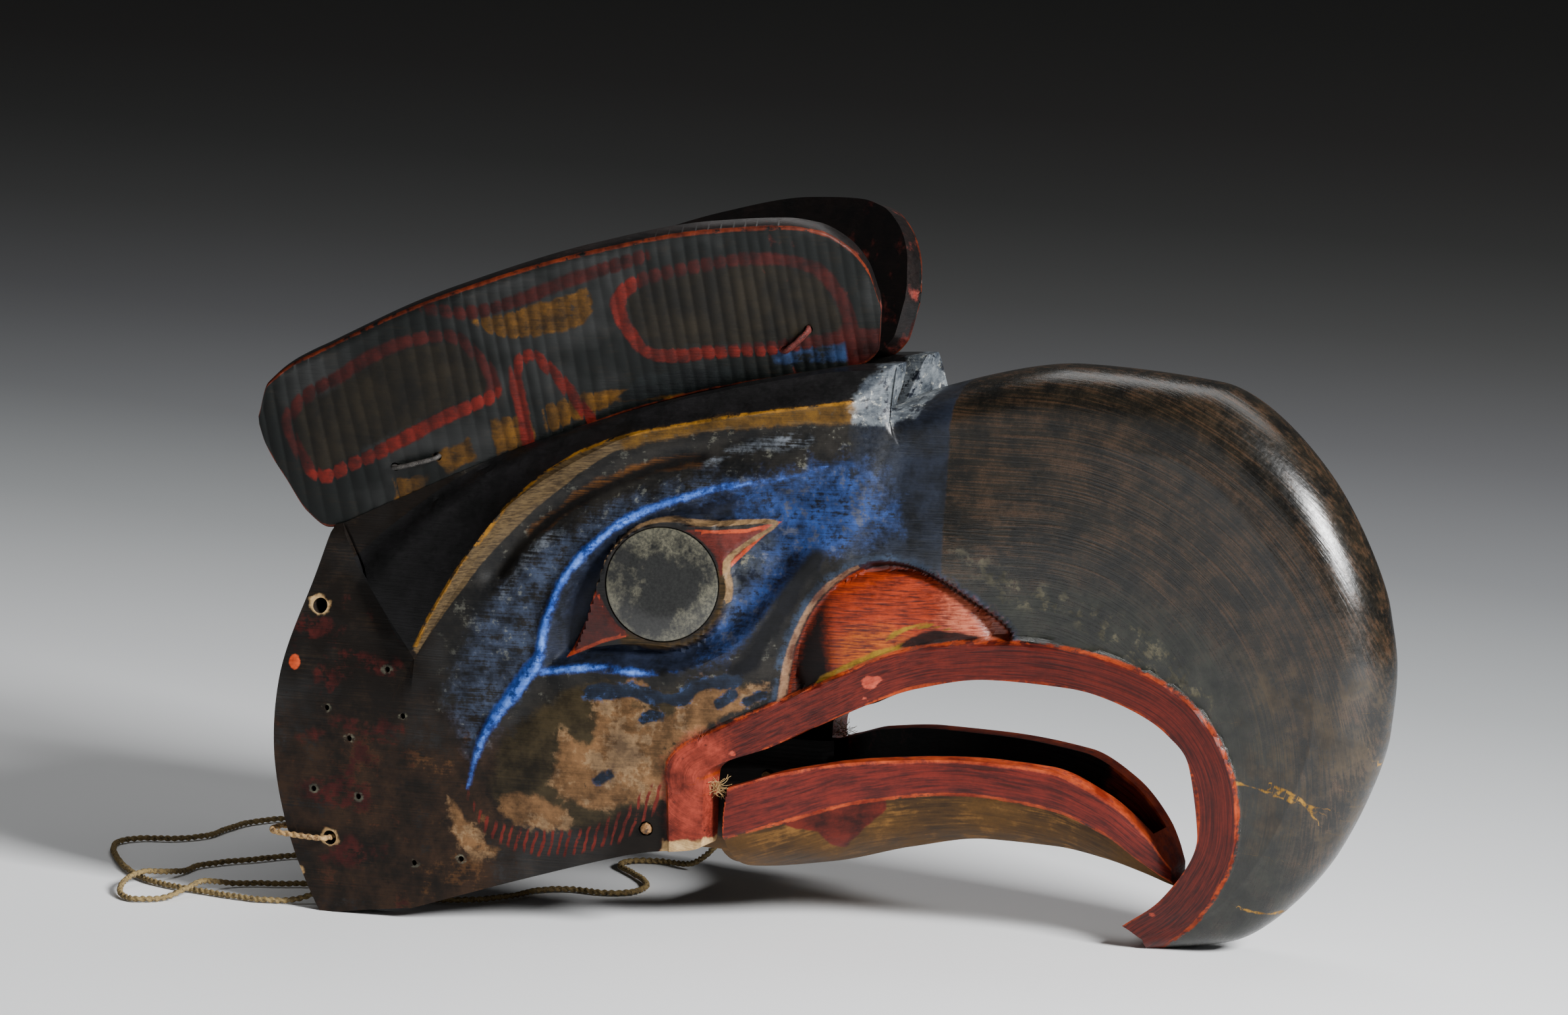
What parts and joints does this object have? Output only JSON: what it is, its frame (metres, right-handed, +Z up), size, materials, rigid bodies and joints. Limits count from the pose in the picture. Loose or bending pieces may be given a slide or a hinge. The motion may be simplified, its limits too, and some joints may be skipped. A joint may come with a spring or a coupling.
{
  "type": "eagle mask",
  "caption": "Carved wooden eagle mask with a hooked beak, a jaw that swings on pegs, ear boards, mirror eyes and cords",
  "frame": {"origin": "middle of the mask's bounding box at the floor, without the cords", "axes": "+X towards the beak, +Y to the mask's left, +Z up"},
  "size_m": [0.7244, 0.2401, 0.365],
  "materials": {
    "painted_wood_dark": "worn satin paint on carved wood",
    "painted_wood_red": "worn satin paint on carved wood",
    "painted_wood_ear": "gouged wood, worn paint",
    "bare_wood": "bare whittled wood",
    "mirror": "silvering mottled with age",
    "dark_leather": "dry, matt",
    "tan_leather": "dry, matt",
    "fibre_cord": "two-ply twist, matt"
  },
  "bodies": {
    "head": {"mask_body": "painted_wood_dark", "ear_right": "painted_wood_ear", "eye_mirror_right": "mirror", "jaw_peg_right": "bare_wood", "ear_rear_lace_right": "dark_leather", "ear_front_tie_right": "tan_leather", "rim_thong_right": "tan_leather", "ear_left": "painted_wood_ear", "eye_mirror_left": "mirror", "jaw_peg_left": "bare_wood", "ear_rear_lace_left": "dark_leather", "ear_front_tie_left": "tan_leather", "rim_thong_left": "tan_leather", "harness_cord": "fibre_cord", "jaw_cord": "fibre_cord"},
    "jaw": {"lower_jaw": "painted_wood_red"}
  },
  "joints": [
    {"name": "jaw_swing", "type": "hinge", "parent": "head", "child": "jaw", "pos_m": [-0.076, 0, 0.056], "axis": [0, -1, 0], "range_deg": [0, 10]}
  ]
}
